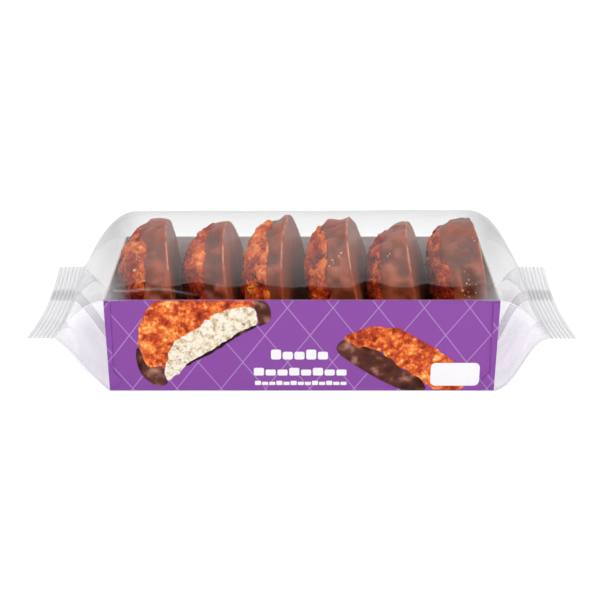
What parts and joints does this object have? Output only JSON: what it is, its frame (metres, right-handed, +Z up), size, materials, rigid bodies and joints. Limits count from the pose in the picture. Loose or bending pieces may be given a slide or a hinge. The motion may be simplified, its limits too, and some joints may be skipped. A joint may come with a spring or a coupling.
{
  "type": "sealed pack of coconut macaroons",
  "caption": "Clear film pack with crimped ends round an open card tray of coconut macaroons dipped in milk chocolate, stood on edge in a row.",
  "frame": {"origin": "middle of the tray's underside, on the surface that the pack stands on", "axes": "+X along the pack from left to right seen from its printed front, -Y out of the printed front, +Z up"},
  "size_m": [0.2238, 0.0736, 0.0648],
  "materials": {
    "printed_card": "purple print with a thin pale lattice outside, plain grey-white card inside",
    "clear_film": "thin clear film, slightly hazy, glossy",
    "baked_coconut": "rough orange-brown baked coconut",
    "milk_chocolate": "satin milk chocolate"
  },
  "bodies": {
    "root": {"tray": "printed_card", "film_bag": "clear_film", "macaroon_1": "baked_coconut", "macaroon_2": "baked_coconut", "macaroon_3": "baked_coconut", "macaroon_4": "baked_coconut", "macaroon_5": "baked_coconut", "macaroon_6": "baked_coconut", "chocolate_1": "milk_chocolate", "chocolate_2": "milk_chocolate", "chocolate_3": "milk_chocolate", "chocolate_4": "milk_chocolate", "chocolate_5": "milk_chocolate", "chocolate_6": "milk_chocolate"}
  },
  "joints": []
}
